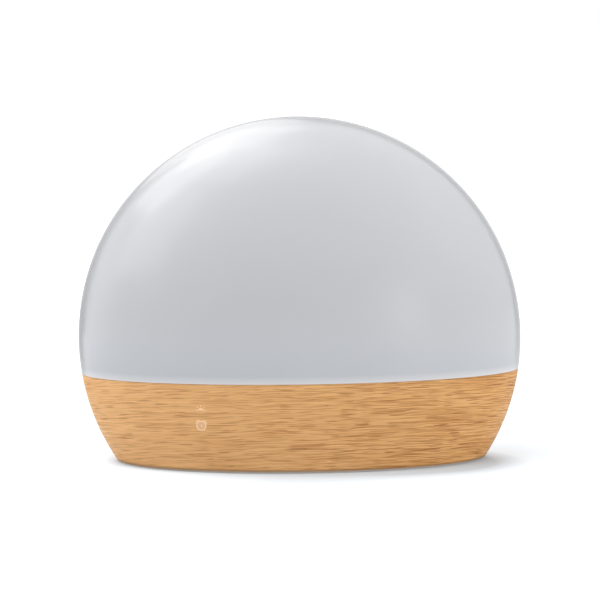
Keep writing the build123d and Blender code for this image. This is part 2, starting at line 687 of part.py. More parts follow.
panel_lip = wall_patch(
    2 * PANEL_LIP_HALF, PANEL_HEIGHT + 2 * PANEL_LIP, PANEL_CORNER, PANEL_Z, -1, PANEL_LIP_OUT, PANEL_IN
)
panel_face = wall_patch(PANEL_LENGTH, PANEL_HEIGHT, PANEL_CORNER, PANEL_Z, -1, PANEL_RECESS, PANEL_IN)
BUTTON_PLACES = [(x, PANEL_Z) for x in BUTTON_X]
with BuildPart() as control_panel:
    with BuildSketch(Plane.XZ.offset(-BUTTON_BOARD_Y)):
        with Locations(*PANEL_POST_PLACES):
            Circle(PANEL_POST_RADIUS)
    extrude(amount=-HALF_DEPTH)
    add(rounded_body(PANEL_IN - PANEL_BACK / 2), mode=Mode.INTERSECT)
    add(panel_lip)
    add(panel_face)
    with BuildSketch(Plane.XZ):
        with Locations(*BUTTON_PLACES):
            Circle(BUTTON_RADIUS + SLIDE_GAP)
    extrude(amount=-DEPTH, mode=Mode.SUBTRACT)
    with BuildSketch(Plane.XZ.offset(-BUTTON_BOARD_Y)):
        with Locations(*PANEL_POST_PLACES):
            Circle(SMALL_SCREW_RADIUS + THREAD_GAP)
    extrude(amount=-SMALL_SCREW_GRIP - THREAD_GAP, mode=Mode.SUBTRACT)
keep(control_panel.part, "control_panel")


# Buttons: caps that follow the curve of the back, kept in by a flange, each on its own switch plunger

def push_button(x, flange_y):
    """One cap with its flange and the stem that rests on the plunger."""
    with BuildPart() as button:
        with BuildSketch(Plane.XZ.offset(-flange_y)):
            with Locations((x, PANEL_Z)):
                Circle(BUTTON_RADIUS)
        extrude(amount=-HALF_DEPTH)
        add(rounded_body(-BUTTON_PROUD), mode=Mode.INTERSECT)
        fillet(button.edges().sort_by(Axis.Y)[-1], BUTTON_EDGE)
        with BuildSketch(Plane.XZ.offset(-flange_y)):
            with Locations((x, PANEL_Z)):
                Circle(FLANGE_RADIUS)
        extrude(amount=BUTTON_FLANGE)
        with BuildSketch(Plane.XZ.offset(-PLUNGER_TIP_Y)):
            with Locations((x, PANEL_Z)):
                Circle(BUTTON_STEM_RADIUS)
        extrude(amount=PLUNGER_TIP_Y - flange_y)
    return button.part


def switch_plunger(x):
    """The moving pin of one switch."""
    with BuildPart() as plunger:
        with BuildSketch(Plane.XZ.offset(-PLUNGER_TIP_Y)):
            with Locations((x, PANEL_Z)):
                Circle(PLUNGER_RADIUS)
        extrude(amount=PLUNGER_PROUD + PLUNGER_DEPTH)
    return plunger.part


for name, x, flange_y in zip(BUTTONS, BUTTON_X, FLANGE_Y):
    keep(push_button(x, flange_y), f"{name}_button")
    keep(switch_plunger(x), f"{name}_switch_plunger")

with BuildPart() as switch_bodies:
    with BuildSketch(Plane.XZ.offset(-SWITCH_TOP_Y)):
        with Locations(*BUTTON_PLACES):
            Rectangle(SWITCH_SIZE, SWITCH_SIZE)
    extrude(amount=SWITCH_HEIGHT)
    with BuildSketch(Plane.XZ.offset(-SWITCH_TOP_Y)):
        with Locations(*BUTTON_PLACES):
            Circle(PLUNGER_RADIUS + PLUNGER_CLEARANCE)
    extrude(amount=PLUNGER_DEPTH + BUTTON_TRAVEL + FIT_GAP, mode=Mode.SUBTRACT)
keep(switch_bodies.part, "switch_bodies")

with BuildPart() as button_board:
    with BuildSketch(Plane.XZ.offset(-BUTTON_BOARD_Y)):
        with Locations((0, PANEL_Z)):
            Rectangle(2 * PANEL_LIP_HALF, PANEL_HEIGHT)
            Rectangle(
                JACK_WIDTH + 2 * INLET_GAP,
                PANEL_Z - JACK_LOW_Z + JACK_MARGIN,
                align=(Align.CENTER, Align.MAX),
            )
        with Locations(*PANEL_POST_PLACES):
            Circle(SMALL_SCREW_RADIUS + SLIDE_GAP, mode=Mode.SUBTRACT)
    extrude(amount=BOARD_THICK)
keep(button_board.part, "button_board")

button_board_screws = screws(
    PANEL_POST_PLACES,
    Plane.XZ.offset(-BUTTON_BOARD_BACK_Y),
    1,
    SMALL_SCREW_RADIUS,
    SMALL_HEAD_RADIUS,
    SMALL_HEAD_HEIGHT,
    SMALL_SCREW_GRIP + BOARD_THICK,
)
keep(button_board_screws, "button_board_screws")

with BuildPart() as supply_capacitors:
    with BuildSketch(Plane.XZ.offset(-BUTTON_BOARD_BACK_Y)):
        with Locations((CAPACITOR_PITCH / 2, PANEL_Z), (CAPACITOR_PITCH * 3 / 2, PANEL_Z)):
            Circle(CAPACITOR_RADIUS)
    extrude(amount=CAPACITOR_HEIGHT)
keep(supply_capacitors.part, "supply_capacitors")

with BuildPart() as board_connectors:
    with BuildSketch(Plane.XZ.offset(-BUTTON_BOARD_BACK_Y)):
        with Locations((-PLUG_X, PANEL_Z), (PLUG_X, PANEL_Z), (LIGHT_PLUG_X, PANEL_Z)):
            Rectangle(PLUG_LENGTH, PLUG_WIDTH)
    extrude(amount=PLUG_HEIGHT)
keep(board_connectors.part, "board_connectors")


# Power inlet: barrel socket soldered to the foot of the button board, behind the hole in the base

with BuildPart() as dc_jack:
    with BuildSketch(Plane.XZ.offset(-JACK_FACE_Y)):
        with Locations((0, JACK_Z)):
            Rectangle(JACK_WIDTH, JACK_HEIGHT)
    extrude(amount=JACK_LENGTH)
    with BuildSketch(Plane.XZ.offset(-JACK_FACE_Y)):
        with Locations((0, JACK_Z)):
            Circle(JACK_BORE)
    extrude(amount=JACK_LENGTH - JACK_BACK, mode=Mode.SUBTRACT)
keep(dc_jack.part, "dc_jack")

with BuildPart() as dc_jack_pin:
    with BuildSketch(Plane.XZ.offset(-BUTTON_BOARD_Y - JACK_BACK)):
        with Locations((0, JACK_Z)):
            Circle(JACK_PIN)
    extrude(amount=JACK_BACK + JACK_PIN_BACK - JACK_LENGTH)
keep(dc_jack_pin.part, "dc_jack_pin")


# Bottom plate: closes the base against the lower ledge; carries the speaker and the coin cell

SCREW_SEAT_Z = PLATE_Z + SCREW_HEAD_HEIGHT + FIT_GAP
LUG_Z = DOOR_TOP_Z - DOOR_LUG_HEIGHT
LUG_RADIUS = DOOR_RADIUS + DOOR_LUG_REACH
GROOVE_RADIUS = LUG_RADIUS + FIT_GAP
GROOVE_LOW_Z = LUG_Z - SLIDE_GAP
GROOVE_TOP_Z = DOOR_TOP_Z + SLIDE_GAP
CELL_PLACE = (CELL_X, 0)
SPEAKER_PLACE = (SPEAKER_X, 0)
CLIP_Y = CELL_RADIUS + GLUE_GAP
grille_rows = int(GRILLE_RADIUS / GRILLE_PITCH)
plate_width, plate_depth = section(PLATE_Z, SHELL_IN + SLIDE_GAP)

with BuildPart() as bottom_plate:
    with BuildSketch(Plane.XY.offset(PLATE_Z)):
        Ellipse(plate_width, plate_depth)
    extrude(amount=PLATE_THICK)
    with BuildSketch(Plane.XY.offset(PLATE_TOP_Z)):
        with Locations(*POST_PLACES):
            Circle(PLATE_BOSS_RADIUS)
    extrude(amount=PLATE_BOSS_HEIGHT)
    with BuildSketch(Plane.XY.offset(PLATE_TOP_Z)):
        with Locations(SPEAKER_PLACE):
            Circle(SPEAKER_RADIUS)
            Circle(SPEAKER_RADIUS - SPEAKER_SEAT_WIDTH, mode=Mode.SUBTRACT)
        with Locations(*SPEAKER_SCREW_PLACES):
            Circle(SPEAKER_BOSS_RADIUS)
    extrude(amount=SPEAKER_SEAT)
    with BuildSketch(Plane.XY.offset(PLATE_TOP_Z)):
        with Locations(CELL_PLACE):
            Circle(CUP_RADIUS)
    extrude(amount=CUP_TOP_Z - PLATE_TOP_Z)
    with BuildSketch(Plane.XY.offset(PLATE_Z)):
        with Locations(*FOOT_PLACES):
            Circle(FOOT_RADIUS + GLUE_GAP)
    extrude(amount=FOOT_SINK, mode=Mode.SUBTRACT)
    with BuildSketch(Plane.XY.offset(PLATE_Z)):
        with Locations(*POST_PLACES):
            Circle(SCREW_HEAD_RADIUS + FIT_GAP)
    extrude(amount=SCREW_SEAT_Z - PLATE_Z, mode=Mode.SUBTRACT)
    with BuildSketch(Plane.XY.offset(PLATE_Z)):
        with Locations(*POST_PLACES):
            Circle(SCREW_RADIUS + SLIDE_GAP)
        for row in range(-grille_rows, grille_rows + 1):
            half_chord = sqrt(GRILLE_RADIUS**2 - (row * GRILLE_PITCH) ** 2)
            if half_chord > GRILLE_PITCH:
                with Locations((SPEAKER_X, row * GRILLE_PITCH)):
                    SlotOverall(2 * half_chord, GRILLE_SLOT)
    extrude(amount=CUP_TOP_Z, mode=Mode.SUBTRACT)
    with BuildSketch(Plane.XY.offset(SPEAKER_Z)):
        with Locations(*SPEAKER_SCREW_PLACES):
            Circle(SMALL_SCREW_RADIUS + THREAD_GAP)
    extrude(amount=-SMALL_SCREW_GRIP - THREAD_GAP, mode=Mode.SUBTRACT)
    with BuildSketch(Plane.XY.offset(PLATE_Z)):
        with Locations(CELL_PLACE):
            Circle(DOOR_RADIUS + SLIDE_GAP)
    extrude(amount=GROOVE_TOP_Z - PLATE_Z, mode=Mode.SUBTRACT)
    with BuildSketch(Plane.XY.offset(GROOVE_LOW_Z)):
        with Locations(CELL_PLACE):
            Circle(GROOVE_RADIUS)
    extrude(amount=GROOVE_TOP_Z - GROOVE_LOW_Z, mode=Mode.SUBTRACT)
    with BuildSketch(Plane.XY.offset(PLATE_Z)):
        with Locations(CELL_PLACE):
            Circle(GROOVE_RADIUS)
            Rectangle(2 * GROOVE_RADIUS, DOOR_LUG_WIDTH + 2 * FIT_GAP, rotation=DOOR_TURN, mode=Mode.INTERSECT)
    extrude(amount=GROOVE_TOP_Z - PLATE_Z, mode=Mode.SUBTRACT)
    with BuildSketch(Plane.XY.offset(DOOR_TOP_Z)):
        with Locations(CELL_PLACE):
            Circle(CELL_RADIUS + CELL_GAP)
        with Locations((CELL_X, CLIP_Y)):
            Rectangle(CONTACT_WIDTH + 2 * SLIDE_GAP, 2 * CLIP_SLOT_DEPTH)
    extrude(amount=CUP_ROOF_Z - DOOR_TOP_Z, mode=Mode.SUBTRACT)
keep(bottom_plate.part, "bottom_plate")

base_screws = screws(
    POST_PLACES,
    Plane.XY.offset(SCREW_SEAT_Z),
    -1,
    SCREW_RADIUS,
    SCREW_HEAD_RADIUS,
    SCREW_HEAD_HEIGHT,
    BASE_SCREW_LENGTH,
)
keep(base_screws, "base_screws")

with BuildPart() as rubber_feet:
    with BuildSketch(Plane.XY):
        with Locations(*FOOT_PLACES):
            Circle(FOOT_RADIUS)
    extrude(amount=PLATE_Z + FOOT_SINK)
    chamfer(rubber_feet.edges().group_by(Axis.Z)[0], FOOT_EDGE)
keep(rubber_feet.part, "rubber_feet")


# Coin cell: quarter-turn door underneath, the cell, and its two contacts in the roofed cup above it

with BuildPart() as battery_door:
    with BuildSketch(Plane.XY.offset(PLATE_Z)):
        with Locations(CELL_PLACE):
            Circle(DOOR_RADIUS)
    extrude(amount=DOOR_THICK)
    with BuildSketch(Plane.XY.offset(LUG_Z)):
        with Locations(CELL_PLACE):
            Circle(LUG_RADIUS)
            Rectangle(2 * LUG_RADIUS, DOOR_LUG_WIDTH, mode=Mode.INTERSECT)
    extrude(amount=DOOR_LUG_HEIGHT)
    with BuildSketch(Plane.XY.offset(PLATE_Z)):
        with Locations(CELL_PLACE):
            SlotOverall(COIN_SLOT_LENGTH, COIN_SLOT_WIDTH)
    extrude(amount=COIN_SLOT_DEPTH, mode=Mode.SUBTRACT)
keep(battery_door.part, "battery_door")

with BuildPart() as coin_cell:
    with BuildSketch(Plane.XY.offset(CELL_Z)):
        with Locations(CELL_PLACE):
            Circle(CELL_RADIUS)
    extrude(amount=CELL_HEIGHT - CELL_STEP)
    with BuildSketch(Plane.XY.offset(CELL_Z)):
        with Locations(CELL_PLACE):
            Circle(CELL_RADIUS - CELL_CAP_INSET)
    extrude(amount=CELL_HEIGHT)
keep(coin_cell.part, "coin_cell")

spring_high_z = CUP_ROOF_Z - CONTACT_THICK / 2
spring_low_z = CELL_TOP_Z + CONTACT_THICK
with BuildPart() as battery_spring:
    with BuildSketch(Plane.XZ):
        with BuildLine():
            Polyline(
                (CELL_X - CONTACT_REACH, spring_high_z),
                (CELL_X - CONTACT_REACH / 2, spring_high_z),
                (CELL_X, spring_low_z),
                (CELL_X + CONTACT_REACH / 2, spring_high_z),
                (CELL_X + CONTACT_REACH, spring_high_z),
            )
        trace(line_width=CONTACT_THICK)
    extrude(amount=CONTACT_WIDTH / 2, both=True)
keep(battery_spring.part, "battery_spring")

with BuildPart() as battery_clip:
    with BuildSketch(Plane.XY.offset(CUP_ROOF_Z)):
        with Locations((CELL_X, CLIP_Y + CONTACT_THICK / 2)):
            Rectangle(CONTACT_WIDTH, CONTACT_THICK)
    extrude(amount=-CONTACT_ROOM - CELL_HEIGHT / 2)
keep(battery_clip.part, "battery_clip")

battery_lead = tube(
    [
        (-PLUG_X, PLUG_END_Y, PANEL_Z),
        (-PLUG_X, LEAD_TURN_Y, PANEL_Z),
        (CELL_X, 0, CUP_TOP_Z + LEAD_RUN),
        (CELL_X, 0, CUP_TOP_Z),
    ]
)
keep(battery_lead, "battery_lead")


# Speaker: faces the slots in the bottom plate and is held by two screws beside its rim

rim_bore = SPEAKER_RADIUS - SPEAKER_RIM
with BuildPart() as speaker_basket:
    with BuildSketch(Plane.XZ):
        with Locations(SPEAKER_PLACE):
            Polygon(
                (rim_bore, SPEAKER_Z),
                (SPEAKER_RADIUS, SPEAKER_Z),
                (SPEAKER_RADIUS, SPEAKER_RIM_TOP_Z),
                (rim_bore + BASKET_WALL, SPEAKER_RIM_TOP_Z),
                (BASKET_BACK_RADIUS, BASKET_BACK_Z),
                (MAGNET_BORE, BASKET_BACK_Z),
                (MAGNET_BORE, BASKET_TOP_Z),
                (BASKET_BACK_RADIUS - BASKET_WALL, BASKET_TOP_Z),
                (rim_bore, SPEAKER_RIM_TOP_Z),
                align=None,
            )
    revolve(axis=Axis((SPEAKER_X, 0, 0), (0, 0, 1)))
    with BuildSketch(Plane.XY.offset(SPEAKER_RIM_TOP_Z)):
        with Locations(SPEAKER_PLACE):
            Rectangle(2 * SPEAKER_RADIUS, BASKET_WINDOW_WIDTH, rotation=45)
            Rectangle(2 * SPEAKER_RADIUS, BASKET_WINDOW_WIDTH, rotation=-45)
    extrude(amount=BASKET_TOP_Z - SPEAKER_RIM_TOP_Z, mode=Mode.SUBTRACT)
keep(speaker_basket.part, "speaker_basket")

yoke_z = BASKET_BACK_Z + MAGNET_HEIGHT
with BuildPart() as speaker_magnet:
    with BuildSketch(Plane.XZ):
        with Locations(SPEAKER_PLACE):
            Polygon(
                (MAGNET_BORE, BASKET_BACK_Z),
                (MAGNET_RADIUS, BASKET_BACK_Z),
                (MAGNET_RADIUS, yoke_z + YOKE_THICK),
                (0, yoke_z + YOKE_THICK),
                (0, BASKET_BACK_Z),
                (POLE_RADIUS, BASKET_BACK_Z),
                (POLE_RADIUS, yoke_z),
                (MAGNET_BORE, yoke_z),
                align=None,
            )
    revolve(axis=Axis((SPEAKER_X, 0, 0), (0, 0, 1)))
keep(speaker_magnet.part, "speaker_magnet")

cone_z = SPEAKER_Z + SPEAKER_RIM_THICK / 2
neck_z = cone_z + CONE_DEPTH
cap_z = cone_z + CONE_DEPTH / 2
coil_top_z = BASKET_BACK_Z + MAGNET_HEIGHT / 2
cone_rim = rim_bore - GLUE_GAP
with BuildPart() as speaker_cone:
    with BuildSketch(Plane.XZ):
        with Locations(SPEAKER_PLACE):
            Polygon(
                (0, cap_z),
                (COIL_RADIUS, neck_z),
                (cone_rim - SURROUND_WIDTH, cone_z),
                (cone_rim, cone_z),
                (cone_rim, cone_z + CONE_THICK),
                (cone_rim - SURROUND_WIDTH, cone_z + CONE_THICK),
                (COIL_RADIUS, neck_z + CONE_THICK),
                (COIL_RADIUS, coil_top_z),
                (COIL_RADIUS - COIL_WALL, coil_top_z),
                (COIL_RADIUS - COIL_WALL, neck_z + CONE_THICK),
                (0, cap_z + CONE_THICK),
                align=None,
            )
    revolve(axis=Axis((SPEAKER_X, 0, 0), (0, 0, 1)))
keep(speaker_cone.part, "speaker_cone")

speaker_screws = screws(
    SPEAKER_SCREW_PLACES,
    Plane.XY.offset(SPEAKER_RIM_TOP_Z),
    1,
    SMALL_SCREW_RADIUS,
    SMALL_HEAD_RADIUS,
    SMALL_HEAD_HEIGHT,
    SMALL_SCREW_GRIP + SPEAKER_RIM_THICK,
)
keep(speaker_screws, "speaker_screws")

tag_x = SPEAKER_X - (MAGNET_RADIUS + BASKET_BACK_RADIUS) / 2
speaker_lead = tube(
    [
        (PLUG_X, PLUG_END_Y, PANEL_Z),
        (PLUG_X, LEAD_TURN_Y, PANEL_Z),
        (tag_x, 0, BASKET_BACK_Z + LEAD_RUN),
        (tag_x, 0, BASKET_BACK_Z),
    ]
)
keep(speaker_lead, "speaker_lead")
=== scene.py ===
import math

import bmesh
import bpy
from mathutils import Matrix, Vector


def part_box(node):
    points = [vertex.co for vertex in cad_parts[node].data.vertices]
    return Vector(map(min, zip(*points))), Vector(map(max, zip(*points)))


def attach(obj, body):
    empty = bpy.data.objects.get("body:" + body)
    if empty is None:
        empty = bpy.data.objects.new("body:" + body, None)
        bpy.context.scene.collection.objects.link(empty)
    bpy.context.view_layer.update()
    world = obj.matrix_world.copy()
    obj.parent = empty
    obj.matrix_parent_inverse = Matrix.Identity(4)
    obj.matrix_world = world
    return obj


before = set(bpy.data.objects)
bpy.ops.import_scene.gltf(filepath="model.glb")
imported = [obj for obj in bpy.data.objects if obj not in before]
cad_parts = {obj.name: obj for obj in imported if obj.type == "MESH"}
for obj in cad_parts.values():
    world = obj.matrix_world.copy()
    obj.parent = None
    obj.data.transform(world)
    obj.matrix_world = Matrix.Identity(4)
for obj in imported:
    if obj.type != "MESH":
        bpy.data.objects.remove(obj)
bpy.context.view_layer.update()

# Base shell: the moulded wall that carries everything, in off-white plastic with a fine spark texture.
# It is one injection moulding with two inner ledges, and the veneer is bonded round it.

mm = 0.001


def new_finish(name):
    """An empty finish: its material, nodes, links and main shader."""
    material = bpy.data.materials.new(name)
    material.use_nodes = True
    nodes = material.node_tree.nodes
    return material, nodes, material.node_tree.links, nodes["Principled BSDF"]


def body_place(nodes):
    """Where a point is on the clock, in metres."""
    return nodes.new("ShaderNodeTexCoord").outputs["Object"]


def cloud(nodes, links, place, spacing, detail=3.0, stretch=(1, 1, 1)):
    """Soft random patches a given distance apart, in metres, drawn out by a stretch along each axis."""
    mapping = nodes.new("ShaderNodeMapping")
    mapping.inputs["Scale"].default_value = [1 / (spacing * s) for s in stretch]
    links.new(place, mapping.inputs["Vector"])
    noise = nodes.new("ShaderNodeTexNoise")
    noise.inputs["Scale"].default_value = 1.0
    noise.inputs["Detail"].default_value = detail
    links.new(mapping.outputs["Vector"], noise.inputs["Vector"])
    return noise.outputs["Fac"]


def blend_of(nodes, links, share, first, second):
    """A colour that goes from the first to the second with a share."""
    mix = nodes.new("ShaderNodeMix")
    mix.data_type = "RGBA"
    links.new(share, mix.inputs["Factor"])
    for socket, colour in ((mix.inputs[6], first), (mix.inputs[7], second)):
        if isinstance(colour, tuple):
            socket.default_value = (*colour, 1)
        else:
            links.new(colour, socket)
    return mix.outputs[2]


def between(nodes, links, value, low, high, start=0.3, end=0.7):
    """A value's run from start to end, the usual run of a cloud if not given, spread from low to high."""
    spread = nodes.new("ShaderNodeMapRange")
    for socket, number in (("From Min", start), ("From Max", end), ("To Min", low), ("To Max", high)):
        spread.inputs[socket].default_value = number
    links.new(value, spread.inputs["Value"])
    return spread.outputs["Result"]


def relief(nodes, links, shader, height, depth):
    """A surface relief of a given depth in metres."""
    bump = nodes.new("ShaderNodeBump")
    bump.inputs["Distance"].default_value = depth
    links.new(height, bump.inputs["Height"])
    links.new(bump.outputs["Normal"], shader.inputs["Normal"])


def grained(name, shade, tint, patch, grain, rough, depth, metal=0.0, stretch=(1, 1, 1)):
    """A finish that drifts between two shades in patches, with a fine grain in its gloss and relief."""
    material, nodes, links, shader = new_finish(name)
    place = body_place(nodes)
    patches = cloud(nodes, links, place, patch)
    fine = cloud(nodes, links, place, grain, 2.0, stretch)
    share = between(nodes, links, patches, 0.0, 1.0)
    links.new(blend_of(nodes, links, share, shade, tint), shader.inputs["Base Color"])
    links.new(between(nodes, links, fine, *rough), shader.inputs["Roughness"])
    relief(nodes, links, shader, fine, depth)
    shader.inputs["Metallic"].default_value = metal
    return material


def dress(material, slot, *names):
    """Gives CAD nodes their finish."""
    for name in names:
        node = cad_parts[name]
        node.data.materials.clear()
        node.data.materials.append(material)


shell_plastic = grained(
    "shell_plastic", shade=(0.74, 0.73, 0.70), tint=(0.79, 0.78, 0.76),
    patch=30 * mm, grain=0.6 * mm, rough=(0.42, 0.58), depth=0.03 * mm,
)
dress(shell_plastic, "shell_plastic", "base_shell")

# Wood veneer: a thin oak skin with its grain running level round the base, oiled to a satin finish.
# It is steam-bent, bonded to the shell and thin enough for the display to shine through.

oak_pale = (0.930, 0.555, 0.256)
oak_left = (0.840, 0.471, 0.200)
oak_right = (0.670, 0.356, 0.125)
oak_mid = (0.785, 0.414, 0.156)
oak_dark = (0.500, 0.215, 0.063)
oak_pore = (0.350, 0.130, 0.035)
# Painted shade: the oak goes dark along its lowest 1.2 mm above the floor and its top 0.6 mm under the dome's
# seam.
oak_edge_shade = (0.300, 0.140, 0.050)
grain_rise = math.radians(1.4)
grain_dip = math.radians(7.8)
wander_spacing = 45 * mm
wander_height = 2.2 * mm
drift_reach = 80 * mm
low_shade_band = (1.0 * mm, 2.2 * mm)
seam_shade_band = (40.2 * mm, 40.8 * mm)
pore_depth = 0.04 * mm
oil_gloss = 0.35
oak, nodes, links, shader = new_finish("oak_veneer")
place = body_place(nodes)
lean = nodes.new("ShaderNodeMapping")
lean.inputs["Rotation"].default_value = (grain_dip, grain_rise, 0)
links.new(place, lean.inputs["Vector"])
wave = nodes.new("ShaderNodeVectorMath")
wave.operation = "MULTIPLY_ADD"
wave.inputs[1].default_value = (0, 0, wander_height)
links.new(cloud(nodes, links, place, wander_spacing, detail=2.0), wave.inputs[0])
links.new(lean.outputs["Vector"], wave.inputs[2])
grain_place = wave.outputs["Vector"]
bands = cloud(nodes, links, grain_place, 5.0 * mm, detail=3.0, stretch=(14, 14, 1))
crowding = cloud(nodes, links, grain_place, 8.0 * mm, detail=1.0, stretch=(5, 5, 1))
streaks = cloud(nodes, links, grain_place, 0.75 * mm, detail=0.0, stretch=(60, 60, 1))
growth = cloud(nodes, links, grain_place, 0.36 * mm, detail=0.0, stretch=(62, 62, 1))
pores = cloud(nodes, links, grain_place, 0.27 * mm, detail=0.0, stretch=(34, 34, 1))
fibres = cloud(nodes, links, grain_place, 0.14 * mm, detail=2.0, stretch=(70, 70, 1))


def worked(nodes, links, operation, first, second):
    """What a sum on two values gives, either of them a plain number."""
    sum_node = nodes.new("ShaderNodeMath")
    sum_node.operation = operation
    for socket, value in zip(sum_node.inputs, (first, second)):
        if isinstance(value, float):
            socket.default_value = value
        else:
            links.new(value, socket)
    return sum_node.outputs[0]


position = nodes.new("ShaderNodeSeparateXYZ")
links.new(place, position.inputs[0])
drift = between(nodes, links, position.outputs["X"], low=0, high=1, start=-drift_reach, end=drift_reach)
drift_strength = between(nodes, links, drift, low=0.58, high=1.25, start=0, end=1)
crowded = between(nodes, links, crowding, low=0.7, high=1.0, start=0.35, end=0.62)
crowded = worked(nodes, links, "MULTIPLY", crowded, drift_strength)
pale_share = between(nodes, links, growth, low=0.35, high=0, start=0.32, end=0.46)
streak_share = between(nodes, links, streaks, low=0, high=0.13, start=0.54, end=0.68)
line_share = between(nodes, links, growth, low=0, high=0.68, start=0.56, end=0.65)
pore_share = between(nodes, links, pores, low=0, high=0.85, start=0.59, end=0.66)
# Painted shade along the wood's bottom rim and in the seam under the dome.
painted_low_shade = between(nodes, links, position.outputs["Z"], 0.95, 0, *low_shade_band)
painted_seam_shade = between(nodes, links, position.outputs["Z"], 0, 0.55, *seam_shade_band)
wood = blend_of(nodes, links, drift, oak_left, oak_right)
for share, tone in (
    (between(nodes, links, bands, low=0, high=0.26), oak_mid),
    (pale_share, oak_pale),
    (streak_share, oak_dark),
    (worked(nodes, links, "MULTIPLY", line_share, crowded), oak_dark),
    (worked(nodes, links, "MULTIPLY", pore_share, crowded), oak_pore),
    (between(nodes, links, fibres, low=0, high=0.14), oak_dark),
    (painted_low_shade, oak_edge_shade),
    (painted_seam_shade, oak_edge_shade),
):
    wood = blend_of(nodes, links, share, wood, tone)
links.new(wood, shader.inputs["Base Color"])
links.new(between(nodes, links, growth, low=0.46, high=0.62), shader.inputs["Roughness"])
relief(nodes, links, shader, pores, -pore_depth)
shader.inputs["Specular IOR Level"].default_value = oil_gloss
dress(oak, "oak_veneer", "wood_veneer")

# Display marks: a day-half mark and an alarm mark that glow pale through the veneer at the left.
# They are light from the display behind, laid here as a film a few hundredths of a millimetre thick.

half_width = 100.0 * mm
half_depth = 44.0 * mm
widest_height = 55.4 * mm
front, rear = -1, 1


def on_body(x, z, proud, side):
    """The point of the body's rounded surface at x and z, and the direction straight out of it."""
    wide = half_width + proud
    deep = half_depth + proud
    rise = z - widest_height
    y = side * deep * math.sqrt(1 - (x / wide) ** 2 - (rise / wide) ** 2)
    out = Vector((x / wide**2, y / deep**2, rise / wide**2)).normalized()
    return Vector((x, y, z)), out


def ink_line(points, width, closed=False):
    """Left and right edges along a drawn line, narrowed at its ends so that they come out round."""
    spots = [Vector(p) for p in points]
    count = len(spots)
    sections = []
    for k, spot in enumerate(spots):
        before = spots[k - 1] if closed or k else spot
        after = spots[(k + 1) % count] if closed or k < count - 1 else spot
        along = (after - before).normalized()
        sections.append((spot, along, width / 2))
    if not closed:
        round_end_turns = (75, 50, 25)
        ends = []
        for turn in round_end_turns:
            step = math.sin(math.radians(turn)) * width / 2
            half = math.cos(math.radians(turn)) * width / 2
            ends.append((step, half))
        first, last = sections[0], sections[-1]
        sections = [(first[0] - first[1] * s, first[1], h) for s, h in ends] + sections
        sections += [(last[0] + last[1] * s, last[1], h) for s, h in reversed(ends)]
    edges = []
    for spot, along, half in sections:
        across = Vector((-along.y, along.x)) * half
        edges.append((spot + across, spot - across))
    return edges


def arc(centre, radius, start, end, steps=16, squeeze=1.0):
    """Points along part of a circle, angles in degrees, squeezed upright by a share."""
    points = []
    for k in range(steps + 1):
        turn = math.radians(start + (end - start) * k / steps)
        points.append((centre[0] + radius * math.cos(turn), centre[1] + squeeze * radius * math.sin(turn)))
    return points


def circle(centre, radius, steps=32):
    """Points round a whole circle."""
    return arc(centre, radius, 0, 360, steps)[:-1]


def ray(centre, start, end, turn, width):
    """A drawn line that points straight out from a centre."""
    return [arc(centre, radius, turn, turn, 1)[0] for radius in (start, end)], width, False


def printed(name, lines, fills, centre, proud, side, film=0.04 * mm, sunk=0.05 * mm):
    """A thin mark on the rounded body: drawn lines and filled outlines, in mm about a centre."""
    mesh = bmesh.new()

    def lay(spot, height):
        x = centre[0] - side * spot[0] * mm
        point, out = on_body(x, centre[1] + spot[1] * mm, proud, side)
        return mesh.verts.new(point + out * height)

    for points, width, closed in lines:
        rows = []
        for left, right in ink_line(points, width, closed):
            rows.append((lay(left, film), lay(right, film), lay(right, -sunk), lay(left, -sunk)))
        pairs = list(zip(rows, rows[1:]))
        if closed:
            pairs.append((rows[-1], rows[0]))
        else:
            mesh.faces.new(rows[0])
            mesh.faces.new(rows[-1][::-1])
        for one, two in pairs:
            for k in range(4):
                j = (k + 1) % 4
                mesh.faces.new((one[k], one[j], two[j], two[k]))
    for outline in fills:
        top = [lay(p, film) for p in outline]
        low = [lay(p, -sunk) for p in outline]
        mesh.faces.new(top)
        mesh.faces.new(low[::-1])
        for k in range(len(top)):
            j = (k + 1) % len(top)
            mesh.faces.new((top[k], low[k], low[j], top[j]))
    bmesh.ops.recalc_face_normals(mesh, faces=mesh.faces)
    data = bpy.data.meshes.new(name)
    mesh.to_mesh(data)
    mesh.free()
    mark = bpy.data.objects.new(name, data)
    bpy.context.scene.collection.objects.link(mark)
    return mark


def glowing(name, shade, tint, glow):
    """Light seen through wood: pale, with the grain still showing in it."""
    material, nodes, links, shader = new_finish(name)
    streak = cloud(nodes, links, body_place(nodes), 1.1 * mm, detail=2.0, stretch=(17, 17, 1))
    colour = blend_of(nodes, links, between(nodes, links, streak, low=0, high=1), shade, tint)
    links.new(colour, shader.inputs["Base Color"])
    links.new(colour, shader.inputs["Emission Color"])
    shader.inputs["Emission Strength"].default_value = glow
    links.new(between(nodes, links, streak, low=0.45, high=0.6), shader.inputs["Roughness"])
    relief(nodes, links, shader, streak, 0.02 * mm)
    return material


